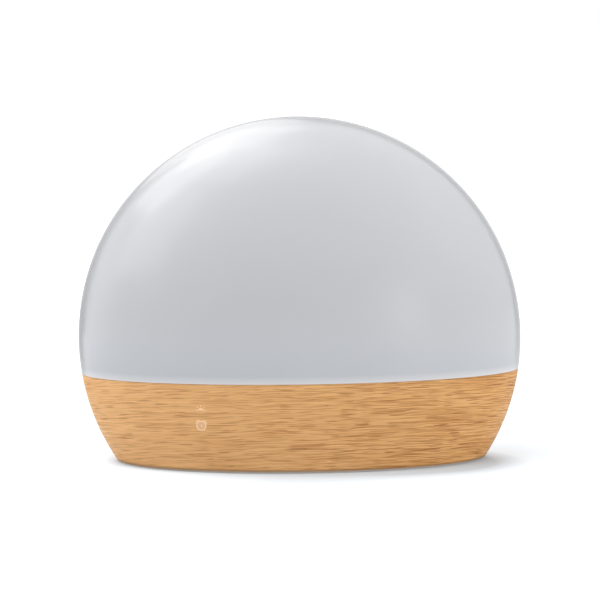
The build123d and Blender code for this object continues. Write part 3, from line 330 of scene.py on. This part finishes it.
mark_x = -42.5 * mm
day_half_z = 30.1 * mm
sun_centre = (0, -0.8)
sun_radius = 0.95
ray_start, ray_end, ray_ink = 1.45, 1.95, 0.34
horizon_half, horizon_z, horizon_ink = 2.1, -0.95, 0.36
alarm_z = 22.2 * mm
dial_centre = (0, -0.25)
dial_radius, dial_ink = 2.05, 0.36
bell_out, bell_radius, bell_turn, bell_ink = 1.75, 1.1, 56, 0.34
hand_ink = 0.22
halo_radius = 1.9
halo_film = 0.015 * mm
day_glow = glowing("day_half_glow", (0.83, 0.52, 0.285), (0.88, 0.58, 0.335), 0.08)
alarm_glow = glowing("alarm_glow", (0.88, 0.58, 0.345), (0.94, 0.65, 0.415), 0.12)
halo_glow = glowing("mark_halo", (0.74, 0.43, 0.210), (0.79, 0.46, 0.237), 0.03)
rays = [ray(sun_centre, ray_start, ray_end, turn, ray_ink) for turn in (35, 90, 145)]
half_sun = arc(sun_centre, sun_radius, 0, 180, 14)
horizon = ([(-horizon_half, horizon_z), (horizon_half, horizon_z)], horizon_ink, False)
day_half_mark = printed("day_half_mark", [horizon, *rays], [half_sun], (mark_x, day_half_z), 0, front)
dial = (circle(dial_centre, dial_radius), dial_ink, True)
bells = []
for turn in (48, 132):
    hub = arc(dial_centre, bell_out, turn, turn, 1)[0]
    bells.append((arc(hub, bell_radius, turn - bell_turn, turn + bell_turn, 10), bell_ink, False))
hands = ([(0.0, 0.75), (0.0, -0.3), (0.7, -0.75)], hand_ink, False)
alarm_mark = printed("alarm_mark", [dial, *bells, hands], [], (mark_x, alarm_z), 0, front)
halo = circle(dial_centre, halo_radius)
alarm_halo = printed("alarm_halo", [], [halo], (mark_x, alarm_z), 0, front, halo_film)
for mark, finish in ((day_half_mark, day_glow), (alarm_mark, alarm_glow), (alarm_halo, halo_glow)):
    mark.data.materials.append(finish)
    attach(mark, "clock_body")

# Bottom plate, door, screws and feet: the moulded floor with its speaker slots and coin-slot battery door.
# Four plated screws hold it up to the posts of the light deck, and soft feet are pressed into its rim.

plate_plastic = grained(
    "plate_plastic", shade=(0.72, 0.71, 0.68), tint=(0.78, 0.77, 0.74),
    patch=20 * mm, grain=0.5 * mm, rough=(0.45, 0.62), depth=0.04 * mm,
)
dress(plate_plastic, "plate_plastic", "bottom_plate", "battery_door")
base_screw_zinc = grained(
    "base_screw_zinc", shade=(0.42, 0.42, 0.44), tint=(0.52, 0.52, 0.53),
    patch=4 * mm, grain=0.3 * mm, rough=(0.25, 0.42), depth=0.01 * mm, metal=1.0,
)
dress(base_screw_zinc, "base_screw", "base_screws")
foot_rubber = grained(
    "foot_rubber", shade=(0.045, 0.045, 0.047), tint=(0.075, 0.074, 0.073),
    patch=4 * mm, grain=0.4 * mm, rough=(0.72, 0.88), depth=0.05 * mm,
)
dress(foot_rubber, "foot_rubber", "rubber_feet")

# Battery contacts and coin cell: stamped brass springs and a nickel-plated cell with a spun face.
# The clip and the spring press on the cell's rim and top, and a sleeved lead takes the current up.

cell_steel = grained(
    "cell_steel", shade=(0.62, 0.62, 0.61), tint=(0.72, 0.72, 0.71),
    patch=6 * mm, grain=0.2 * mm, rough=(0.18, 0.34), depth=0.008 * mm, metal=1.0,
)
dress(cell_steel, "cell_steel", "coin_cell")
contact_brass = grained(
    "contact_brass", shade=(0.68, 0.50, 0.22), tint=(0.78, 0.60, 0.30),
    patch=4 * mm, grain=0.3 * mm, rough=(0.24, 0.4), depth=0.01 * mm, metal=1.0, stretch=(8, 1, 1),
)
dress(contact_brass, "contact_brass", "battery_spring", "battery_clip")
lead_sleeve = grained(
    "lead_sleeve", shade=(0.020, 0.020, 0.023), tint=(0.034, 0.034, 0.037),
    patch=6 * mm, grain=0.4 * mm, rough=(0.5, 0.66), depth=0.03 * mm,
)
dress(lead_sleeve, "lead_sleeve", "battery_lead", "led_lead", "speaker_lead")

# Speaker: a pressed steel basket with a paper cone and a ferrite magnet, facing down to the slots.
# Two small screws hold its ears to the bottom plate.

speaker_frame = grained(
    "speaker_frame", shade=(0.030, 0.030, 0.032), tint=(0.050, 0.050, 0.052),
    patch=8 * mm, grain=0.4 * mm, rough=(0.35, 0.5), depth=0.02 * mm, metal=0.6,
)
dress(speaker_frame, "speaker_frame", "speaker_basket")
speaker_ferrite = grained(
    "speaker_ferrite", shade=(0.045, 0.045, 0.048), tint=(0.075, 0.074, 0.076),
    patch=4 * mm, grain=0.3 * mm, rough=(0.55, 0.75), depth=0.04 * mm,
)
dress(speaker_ferrite, "speaker_magnet", "speaker_magnet")
speaker_paper = grained(
    "speaker_paper", shade=(0.035, 0.034, 0.034), tint=(0.070, 0.068, 0.066),
    patch=3 * mm, grain=0.5 * mm, rough=(0.75, 0.92), depth=0.08 * mm,
)
dress(speaker_paper, "speaker_paper", "speaker_cone")
small_screw_zinc = grained(
    "small_screw_zinc", shade=(0.55, 0.55, 0.57), tint=(0.66, 0.66, 0.67),
    patch=3 * mm, grain=0.2 * mm, rough=(0.22, 0.38), depth=0.01 * mm, metal=1.0,
)
small_screws = ("speaker_screws", "display_screws", "button_board_screws", "led_board_screws")
dress(small_screw_zinc, "small_screw", *small_screws)

# Display: a white light guide with a well for each bar of the numbers, in front of a board of small lights.
# Two screws hold the board and the guide to bosses of the shell, and a flat cable links the boards.

shroud_white = grained(
    "shroud_white", shade=(0.80, 0.80, 0.79), tint=(0.86, 0.86, 0.85),
    patch=10 * mm, grain=0.4 * mm, rough=(0.5, 0.66), depth=0.02 * mm,
)
dress(shroud_white, "shroud_white", "display_shroud")
phosphor = grained(
    "light_phosphor", shade=(0.84, 0.66, 0.20), tint=(0.90, 0.78, 0.38),
    patch=1.5 * mm, grain=0.3 * mm, rough=(0.35, 0.5), depth=0.02 * mm,
)
dress(phosphor, "light_package", "segment_leds", "led_packages")

mask_green = (0.018, 0.120, 0.045)
mask_deep = (0.0126, 0.096, 0.0315)
track_green = (0.05, 0.22, 0.09)
tracks_per_metre = 160.0
track_width = 0.06
track_height = 0.04 * mm
board_green, nodes, links, shader = new_finish("board_mask")
place = body_place(nodes)
tracks = nodes.new("ShaderNodeTexBrick")
tracks.inputs["Scale"].default_value = tracks_per_metre
tracks.inputs["Mortar Size"].default_value = track_width
tracks.inputs["Color1"].default_value = (*mask_green, 1)
tracks.inputs["Color2"].default_value = (*mask_deep, 1)
tracks.inputs["Mortar"].default_value = (*track_green, 1)
stand_up = nodes.new("ShaderNodeMapping")
stand_up.inputs["Rotation"].default_value = (math.radians(90), 0, 0)
links.new(place, stand_up.inputs["Vector"])
links.new(stand_up.outputs["Vector"], tracks.inputs["Vector"])
weave = cloud(nodes, links, place, 0.7 * mm)
weave_share = between(nodes, links, weave, low=0, high=0.3)
board_colour = blend_of(nodes, links, weave_share, tracks.outputs["Color"], track_green)
links.new(board_colour, shader.inputs["Base Color"])
links.new(between(nodes, links, weave, low=0.3, high=0.45), shader.inputs["Roughness"])
relief(nodes, links, shader, tracks.outputs["Fac"], -track_height)
dress(board_green, "board_green", "display_board", "button_board")
chip_black = grained(
    "chip_black", shade=(0.018, 0.018, 0.019), tint=(0.032, 0.032, 0.034),
    patch=3 * mm, grain=0.3 * mm, rough=(0.42, 0.6), depth=0.02 * mm,
)
dress(chip_black, "switch_black", "controller_chip", "switch_bodies", "dc_jack")

wire_grey = (0.42, 0.42, 0.44)
wire_pale = (0.66, 0.66, 0.67)
wires_scale = 160.0
wire_height = 0.15 * mm
ribbon_grey, nodes, links, shader = new_finish("ribbon_grey")
place = body_place(nodes)
wires = nodes.new("ShaderNodeTexWave")
wires.inputs["Scale"].default_value = wires_scale
wires.inputs["Distortion"].default_value = 0.0
links.new(place, wires.inputs["Vector"])
ribbon_colour = blend_of(nodes, links, wires.outputs["Fac"], wire_grey, wire_pale)
links.new(ribbon_colour, shader.inputs["Base Color"])
ribbon_wear = cloud(nodes, links, place, 2 * mm)
links.new(between(nodes, links, ribbon_wear, low=0.45, high=0.6), shader.inputs["Roughness"])
relief(nodes, links, shader, wires.outputs["Fac"], wire_height)
dress(ribbon_grey, "ribbon", "display_ribbon")

# Button board parts: sleeved capacitors, nylon plugs and the round power socket with its centre pin.
# They are soldered to the board behind the buttons, and the socket looks out through a hole in the wall.

capacitor_can = grained(
    "capacitor_can", shade=(0.40, 0.41, 0.43), tint=(0.55, 0.56, 0.58),
    patch=4 * mm, grain=0.3 * mm, rough=(0.3, 0.45), depth=0.02 * mm, metal=0.8,
)
dress(capacitor_can, "capacitor_can", "supply_capacitors")
plug_nylon = grained(
    "plug_nylon", shade=(0.78, 0.75, 0.66), tint=(0.84, 0.82, 0.74),
    patch=4 * mm, grain=0.4 * mm, rough=(0.45, 0.6), depth=0.03 * mm,
)
dress(plug_nylon, "connector_white", "board_connectors")
pin_nickel = grained(
    "pin_nickel", shade=(0.60, 0.60, 0.59), tint=(0.72, 0.72, 0.71),
    patch=3 * mm, grain=0.2 * mm, rough=(0.16, 0.3), depth=0.01 * mm, metal=1.0,
)
dress(pin_nickel, "jack_pin", "dc_jack_pin")

# Control panel and buttons: six round caps in a long moulded panel at the back, level with the wood.
# Each cap slides through the panel on to its own switch and carries one pad-printed sign.

panel_plastic = grained(
    "panel_plastic", shade=(0.73, 0.72, 0.69), tint=(0.78, 0.77, 0.75),
    patch=20 * mm, grain=0.5 * mm, rough=(0.42, 0.58), depth=0.04 * mm,
)
dress(panel_plastic, "panel_plastic", "control_panel")
button_plastic = grained(
    "button_plastic", shade=(0.80, 0.80, 0.78), tint=(0.85, 0.85, 0.83),
    patch=6 * mm, grain=0.4 * mm, rough=(0.34, 0.48), depth=0.01 * mm,
)
sign_ink = grained(
    "sign_ink", shade=(0.050, 0.050, 0.052), tint=(0.085, 0.084, 0.083),
    patch=2 * mm, grain=0.3 * mm, rough=(0.5, 0.66), depth=0.01 * mm,
)
bold, medium, slim = 0.5, 0.42, 0.4
level_bar = ([(-1.7, 0), (1.7, 0)], bold, False)
upright_bar = ([(0, -1.7), (0, 1.7)], bold, False)
clock_face = (circle((0, 0), 1.85), medium, True)
clock_hands = ([(0, 1.1), (0, 0), (0.8, -0.45)], slim, False)
bell_wall = ([(-2.0, -1.1), *arc((0, 0.35), 1.35, 180, 0, 14), (2.0, -1.1)], medium, False)
bell_lip = ([(-2.0, -1.1), (2.0, -1.1)], medium, False)
bell_clapper = circle((0, -1.75), 0.42, 14)
bell_knob = circle((0, 2.0), 0.3, 12)
note_stems = ([(-0.75, -1.35), (-0.75, 1.75), (1.45, 2.1), (1.45, -0.95)], slim, False)
note_beam = ([(-0.75, 1.05), (1.45, 1.4)], slim, False)
note_heads = [arc(centre, 0.75, 0, 345, 18, 0.75) for centre in ((-1.3, -1.4), (0.9, -1.0))]
sun_disc = (circle((0, 0), 0.95), slim, True)
sun_rays = [ray((0, 0), 1.65, 2.25, turn, slim) for turn in range(0, 360, 45)]
button_signs = {
    "plus": ([level_bar, upright_bar], []),
    "minus": ([level_bar], []),
    "clock": ([clock_face, clock_hands], []),
    "alarm": ([bell_wall, bell_lip], [bell_clapper, bell_knob]),
    "sound": ([note_stems, note_beam], note_heads),
    "light": ([sun_disc, *sun_rays], []),
}
cap_proud = 0.9 * mm
for name, (lines, fills) in button_signs.items():
    dress(button_plastic, "button_plastic", name + "_button")
    dress(chip_black, "switch_black", name + "_switch_plunger")
    low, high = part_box(name + "_button")
    middle = ((low.x + high.x) / 2, (low.z + high.z) / 2)
    sign = printed(name + "_sign", lines, fills, middle, cap_proud, rear)
    sign.data.materials.append(sign_ink)
    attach(sign, name + "_button_body")

# Light deck and light board: a white plate across the body and a round-ended board of warm lights on it.
# The deck rests on the shell's ledge, and its four posts take the base screws from below.

deck_white = grained(
    "deck_white", shade=(0.82, 0.82, 0.81), tint=(0.88, 0.88, 0.87),
    patch=30 * mm, grain=0.6 * mm, rough=(0.55, 0.7), depth=0.03 * mm,
)
dress(deck_white, "deck_white", "light_deck")
board_white = grained(
    "board_white", shade=(0.78, 0.78, 0.75), tint=(0.84, 0.84, 0.82),
    patch=10 * mm, grain=0.3 * mm, rough=(0.3, 0.42), depth=0.01 * mm,
)
dress(board_white, "light_board", "led_board")

# Dome: one frosted moulding in milky plastic, satin outside, that spreads the light.
# Its lip drops into the base shell, and the shell's upper ledge carries it.

milk = (0.466, 0.470, 0.486)
milk_clear = (0.484, 0.488, 0.504)
# Painted light: the dome turns lighter and warmer over its lowest 3.4 mm, as light reflected up from the wood.
milk_lit_by_wood = (0.625, 0.608, 0.610)
seam_height = 40.8 * mm
wood_light_reach = 3.4 * mm
flow_spacing = 60 * mm
frost_spacing = 0.5 * mm
frost_depth = 0.004 * mm
skin_gloss = 1.0
skin_roughness = 0.18
frosted, nodes, links, shader = new_finish("frosted_dome")
place = body_place(nodes)
flow = cloud(nodes, links, place, flow_spacing, detail=2.0)
frost = cloud(nodes, links, place, frost_spacing, detail=2.0)
milky = blend_of(nodes, links, between(nodes, links, flow, low=0, high=1), milk, milk_clear)
position = nodes.new("ShaderNodeSeparateXYZ")
links.new(place, position.inputs[0])
# Painted warm light from the wood, fading out 3.4 mm above the seam.
edge = between(nodes, links, position.outputs["Z"], 1, 0, seam_height, seam_height + wood_light_reach)
links.new(blend_of(nodes, links, edge, milky, milk_lit_by_wood), shader.inputs["Base Color"])
links.new(between(nodes, links, frost, low=0.30, high=0.38), shader.inputs["Roughness"])
relief(nodes, links, shader, frost, frost_depth)
shader.inputs["Coat Weight"].default_value = skin_gloss
shader.inputs["Coat Roughness"].default_value = skin_roughness
dress(frosted, "frosted_dome", "dome_diffuser")

# Studio: white paper with the lamps' shadow and a painted contact shadow near the clock, soft boxes round it
# and above, and two grey cards.
# One card stands close behind and one lies on the table. Only gloss shows them, and they draw the dome's rim.

floor_half_size = 12.0
shadow_paper = (0.468, 0.520, 0.568)
far_paper = (0.30, 0.30, 0.30)
paper_white = (1, 1, 1)
# The paper's glow drops from near_glow to contact_glow close to the foot rim: a painted contact shadow, set
# off and turned to the front right.
contact_glow = 0.13
near_glow = 0.50
contact_reach = 0.016
contact_fall = 0.8
shadow_room = 0.22
white_from = 0.55
rim_half_width = 0.0837
rim_half_depth = 0.0368
shadow_middle = (0.0050, -0.0045, 0)
shadow_turn = math.radians(-8)
# Under the rim the paper glows warm brown: painted light reflected down from the wood.
under_rim = (0.95, 1.01)
under_rim_glow = 0.30
under_rim_bounce_tint = (1.0, 0.80, 0.62)
floor_mesh = bmesh.new()
bmesh.ops.create_grid(floor_mesh, x_segments=8, y_segments=8, size=floor_half_size)
floor_data = bpy.data.meshes.new("studio_floor")
floor_mesh.to_mesh(floor_data)
floor_mesh.free()
floor = bpy.data.objects.new("studio_floor", floor_data)
bpy.context.scene.collection.objects.link(floor)


def seen_share(nodes, links):
    """One where the camera, a reflection or clear plastic looks straight at a surface, and none elsewhere."""
    path = nodes.new("ShaderNodeLightPath")
    total = path.outputs["Is Camera Ray"]
    for extra in ("Is Glossy Ray", "Is Transmission Ray"):
        total = worked(nodes, links, "MAXIMUM", total, path.outputs[extra])
    return total


def length_of(nodes, links, place, measure=(1, 1, 1), middle=(0, 0, 0), turn=0.0):
    """How far a point is from a middle, counted in a measure of its own along each axis, after a turn."""
    mapping = nodes.new("ShaderNodeMapping")
    mapping.vector_type = "TEXTURE"
    mapping.inputs["Location"].default_value = middle
    mapping.inputs["Rotation"].default_value = (0, 0, turn)
    mapping.inputs["Scale"].default_value = measure
    links.new(place, mapping.inputs["Vector"])
    length = nodes.new("ShaderNodeVectorMath")
    length.operation = "LENGTH"
    links.new(mapping.outputs["Vector"], length.inputs[0])
    return length.outputs["Value"]


paper, nodes, links, shader = new_finish("studio_paper")
nodes.remove(shader)
place = body_place(nodes)
far = between(nodes, links, length_of(nodes, links, place), 0, 1, shadow_room, white_from)
rim_measure = (rim_half_width, rim_half_depth, 1)
stretched = length_of(nodes, links, place, (1, 2, 1), shadow_middle, shadow_turn)
times_rim = length_of(nodes, links, place, rim_measure, shadow_middle, shadow_turn)
# Painted contact shadow: less glow close to the foot rim.
off_rim = worked(nodes, links, "SUBTRACT", stretched, worked(nodes, links, "DIVIDE", stretched, times_rim))
clear = between(nodes, links, off_rim, 0, 1, 0, contact_reach)
clear = worked(nodes, links, "POWER", clear, contact_fall)
glow = between(nodes, links, clear, contact_glow, near_glow, 0, 1)
# Painted warm light in the gap under the rim.
under = between(nodes, links, length_of(nodes, links, place, rim_measure), 1, 0, *under_rim)
glow = worked(nodes, links, "MAXIMUM", glow, worked(nodes, links, "MULTIPLY", under, under_rim_glow))
to_white = worked(nodes, links, "SUBTRACT", 1.0, glow)
glow = worked(nodes, links, "ADD", glow, worked(nodes, links, "MULTIPLY", far, to_white))
matte = nodes.new("ShaderNodeBsdfDiffuse")
links.new(blend_of(nodes, links, far, shadow_paper, far_paper), matte.inputs["Color"])
white = nodes.new("ShaderNodeEmission")
links.new(blend_of(nodes, links, under, paper_white, under_rim_bounce_tint), white.inputs["Color"])
links.new(worked(nodes, links, "MULTIPLY", seen_share(nodes, links), glow), white.inputs["Strength"])
both = nodes.new("ShaderNodeAddShader")
links.new(matte.outputs[0], both.inputs[0])
links.new(white.outputs[0], both.inputs[1])
links.new(both.outputs[0], nodes["Material Output"].inputs["Surface"])
floor.data.materials.append(paper)

fill_light = 0.380
world = bpy.data.worlds.new("studio_world")
bpy.context.scene.world = world
world.use_nodes = True
nodes, links = world.node_tree.nodes, world.node_tree.links
sky = nodes["Background"]
sky.inputs["Color"].default_value = (*paper_white, 1)
links.new(between(nodes, links, seen_share(nodes, links), fill_light, 1, 0, 1), sky.inputs["Strength"])


def outward(azimuth, elevation):
    """The direction out from the clock at angles in degrees, where azimuth 0 is the front and 90 the right."""
    turn, rise = math.radians(azimuth), math.radians(elevation)
    return Vector((math.sin(turn) * math.cos(rise), -math.cos(turn) * math.cos(rise), math.sin(rise)))


# Angles in degrees, distance and size in metres, power in watts. Gloss shows the mirrored boxes only.
aim = Vector((0, 0, 0.075))
for name, azimuth, elevation, distance, size, power, mirrored in (
    ("rim_box", -146.5, 47.5, 0.37, 0.25, 0.25, True),
    ("back_top_box", -120, 68, 1.4, 0.8, 3.8, True),
    ("left_top_box", -90, 50, 1.4, 0.8, 3.7, True),
    ("left_box", -62, 30, 1.4, 0.8, 2.1, True),
    ("left_edge_box", -90, 8, 1.4, 0.7, 7.6, False),
    ("top_box", -52, 62, 1.4, 0.7, 1.6, True),
    ("front_top_box", -30, 70, 1.4, 0.7, 6.6, False),
    ("front_box", 30, 3, 1.4, 0.28, 3.5, False),
    ("right_box", 62, 24, 1.4, 0.9, 8.1, False),
    ("right_edge_box", 92, 10, 1.4, 0.8, 3.7, False),
    ("back_box", 180, 14, 0.8, 0.5, 2.2, False),
):
    lamp = bpy.data.lights.new(name, "AREA")
    lamp.size = size
    lamp.energy = power
    soft_box = bpy.data.objects.new(name, lamp)
    out = outward(azimuth, elevation)
    soft_box.location = aim + out * distance
    soft_box.rotation_euler = out.to_track_quat("Z", "Y").to_euler()
    soft_box.visible_camera = False
    soft_box.visible_glossy = mirrored
    bpy.context.scene.collection.objects.link(soft_box)

card_away = 0.30
card_middle = -0.10
card_half_width = 0.68
card_height = 0.66
sheet_half_width = 0.47
sheet_reach = 0.25
sheet_height = 0.001
card_pale = (0.75, 0.75, 0.75)
card_dark = (0.06, 0.06, 0.06)
pale_middle = (0.03, card_away, 0)
pale_reach = 0.23
dark_from = 0.42
fade_from = 0.80


def felt_card(name, outline, measure, middle):
    """A card of grey felt that only gloss shows, pale in the middle and faded to white at its edge."""
    felt, nodes, links, shader = new_finish(name)
    nodes.remove(shader)
    place = body_place(nodes)
    from_pale = length_of(nodes, links, place, middle=pale_middle)
    darkened = between(nodes, links, from_pale, 0, 1, pale_reach, dark_from)
    grey = blend_of(nodes, links, darkened, card_pale, card_dark)
    to_edge = length_of(nodes, links, place, measure, middle)
    faded = between(nodes, links, to_edge, 0, 1, fade_from, 1)
    shade = nodes.new("ShaderNodeEmission")
    links.new(blend_of(nodes, links, faded, grey, paper_white), shade.inputs["Color"])
    links.new(shade.outputs[0], nodes["Material Output"].inputs["Surface"])
    corners = [[m + s * p for m, s, p in zip(middle, measure, point)] for point in outline]
    data = bpy.data.meshes.new(name)
    data.from_pydata(corners, [], [range(len(corners))])
    data.materials.append(felt)
    card = bpy.data.objects.new(name, data)
    card.visible_camera = False
    card.visible_diffuse = False
    card.visible_shadow = False
    card.visible_transmission = False
    bpy.context.scene.collection.objects.link(card)


standing = [(x, 0, z) for x, z in circle((0, 0), 1.0, 64)]
felt_card("rim_card", standing, (card_half_width, 1, card_height), (card_middle, card_away, 0))
lying = [(x, y, 0) for x, y in arc((0, 0), 1.0, 180, 360, 32)]
felt_card("table_card", lying, (sheet_half_width, sheet_reach, 1), (0, card_away, sheet_height))

# Camera: the view of the photograph, a long lens a little above the table and turned by a hair.
# The shift only puts the clock where the photograph has it in the frame.

view_azimuth = 1.9
view_elevation = 7.77
view_roll = math.radians(0.98)
view_distance = 1.13
view_middle = Vector((0, 0, widest_height))
view_turn = math.radians(view_azimuth)
back = outward(view_azimuth, view_elevation)
level = Vector((math.cos(view_turn), math.sin(view_turn), 0))
upright = back.cross(level)
right = level * math.cos(view_roll) - upright * math.sin(view_roll)
up = level * math.sin(view_roll) + upright * math.cos(view_roll)
stand = Matrix.Translation(view_middle + back * view_distance)
facing = Matrix((right, up, back)).transposed().to_4x4()
lens = bpy.data.cameras.new("photo_camera")
lens.lens = 149.8
lens.sensor_width = 36.0
lens.shift_x = 0.0015
lens.shift_y = 0.0632
camera = bpy.data.objects.new("photo_camera", lens)
camera.matrix_world = stand @ facing
bpy.context.scene.collection.objects.link(camera)
bpy.context.scene.camera = camera
bpy.context.scene.view_settings.view_transform = "Standard"
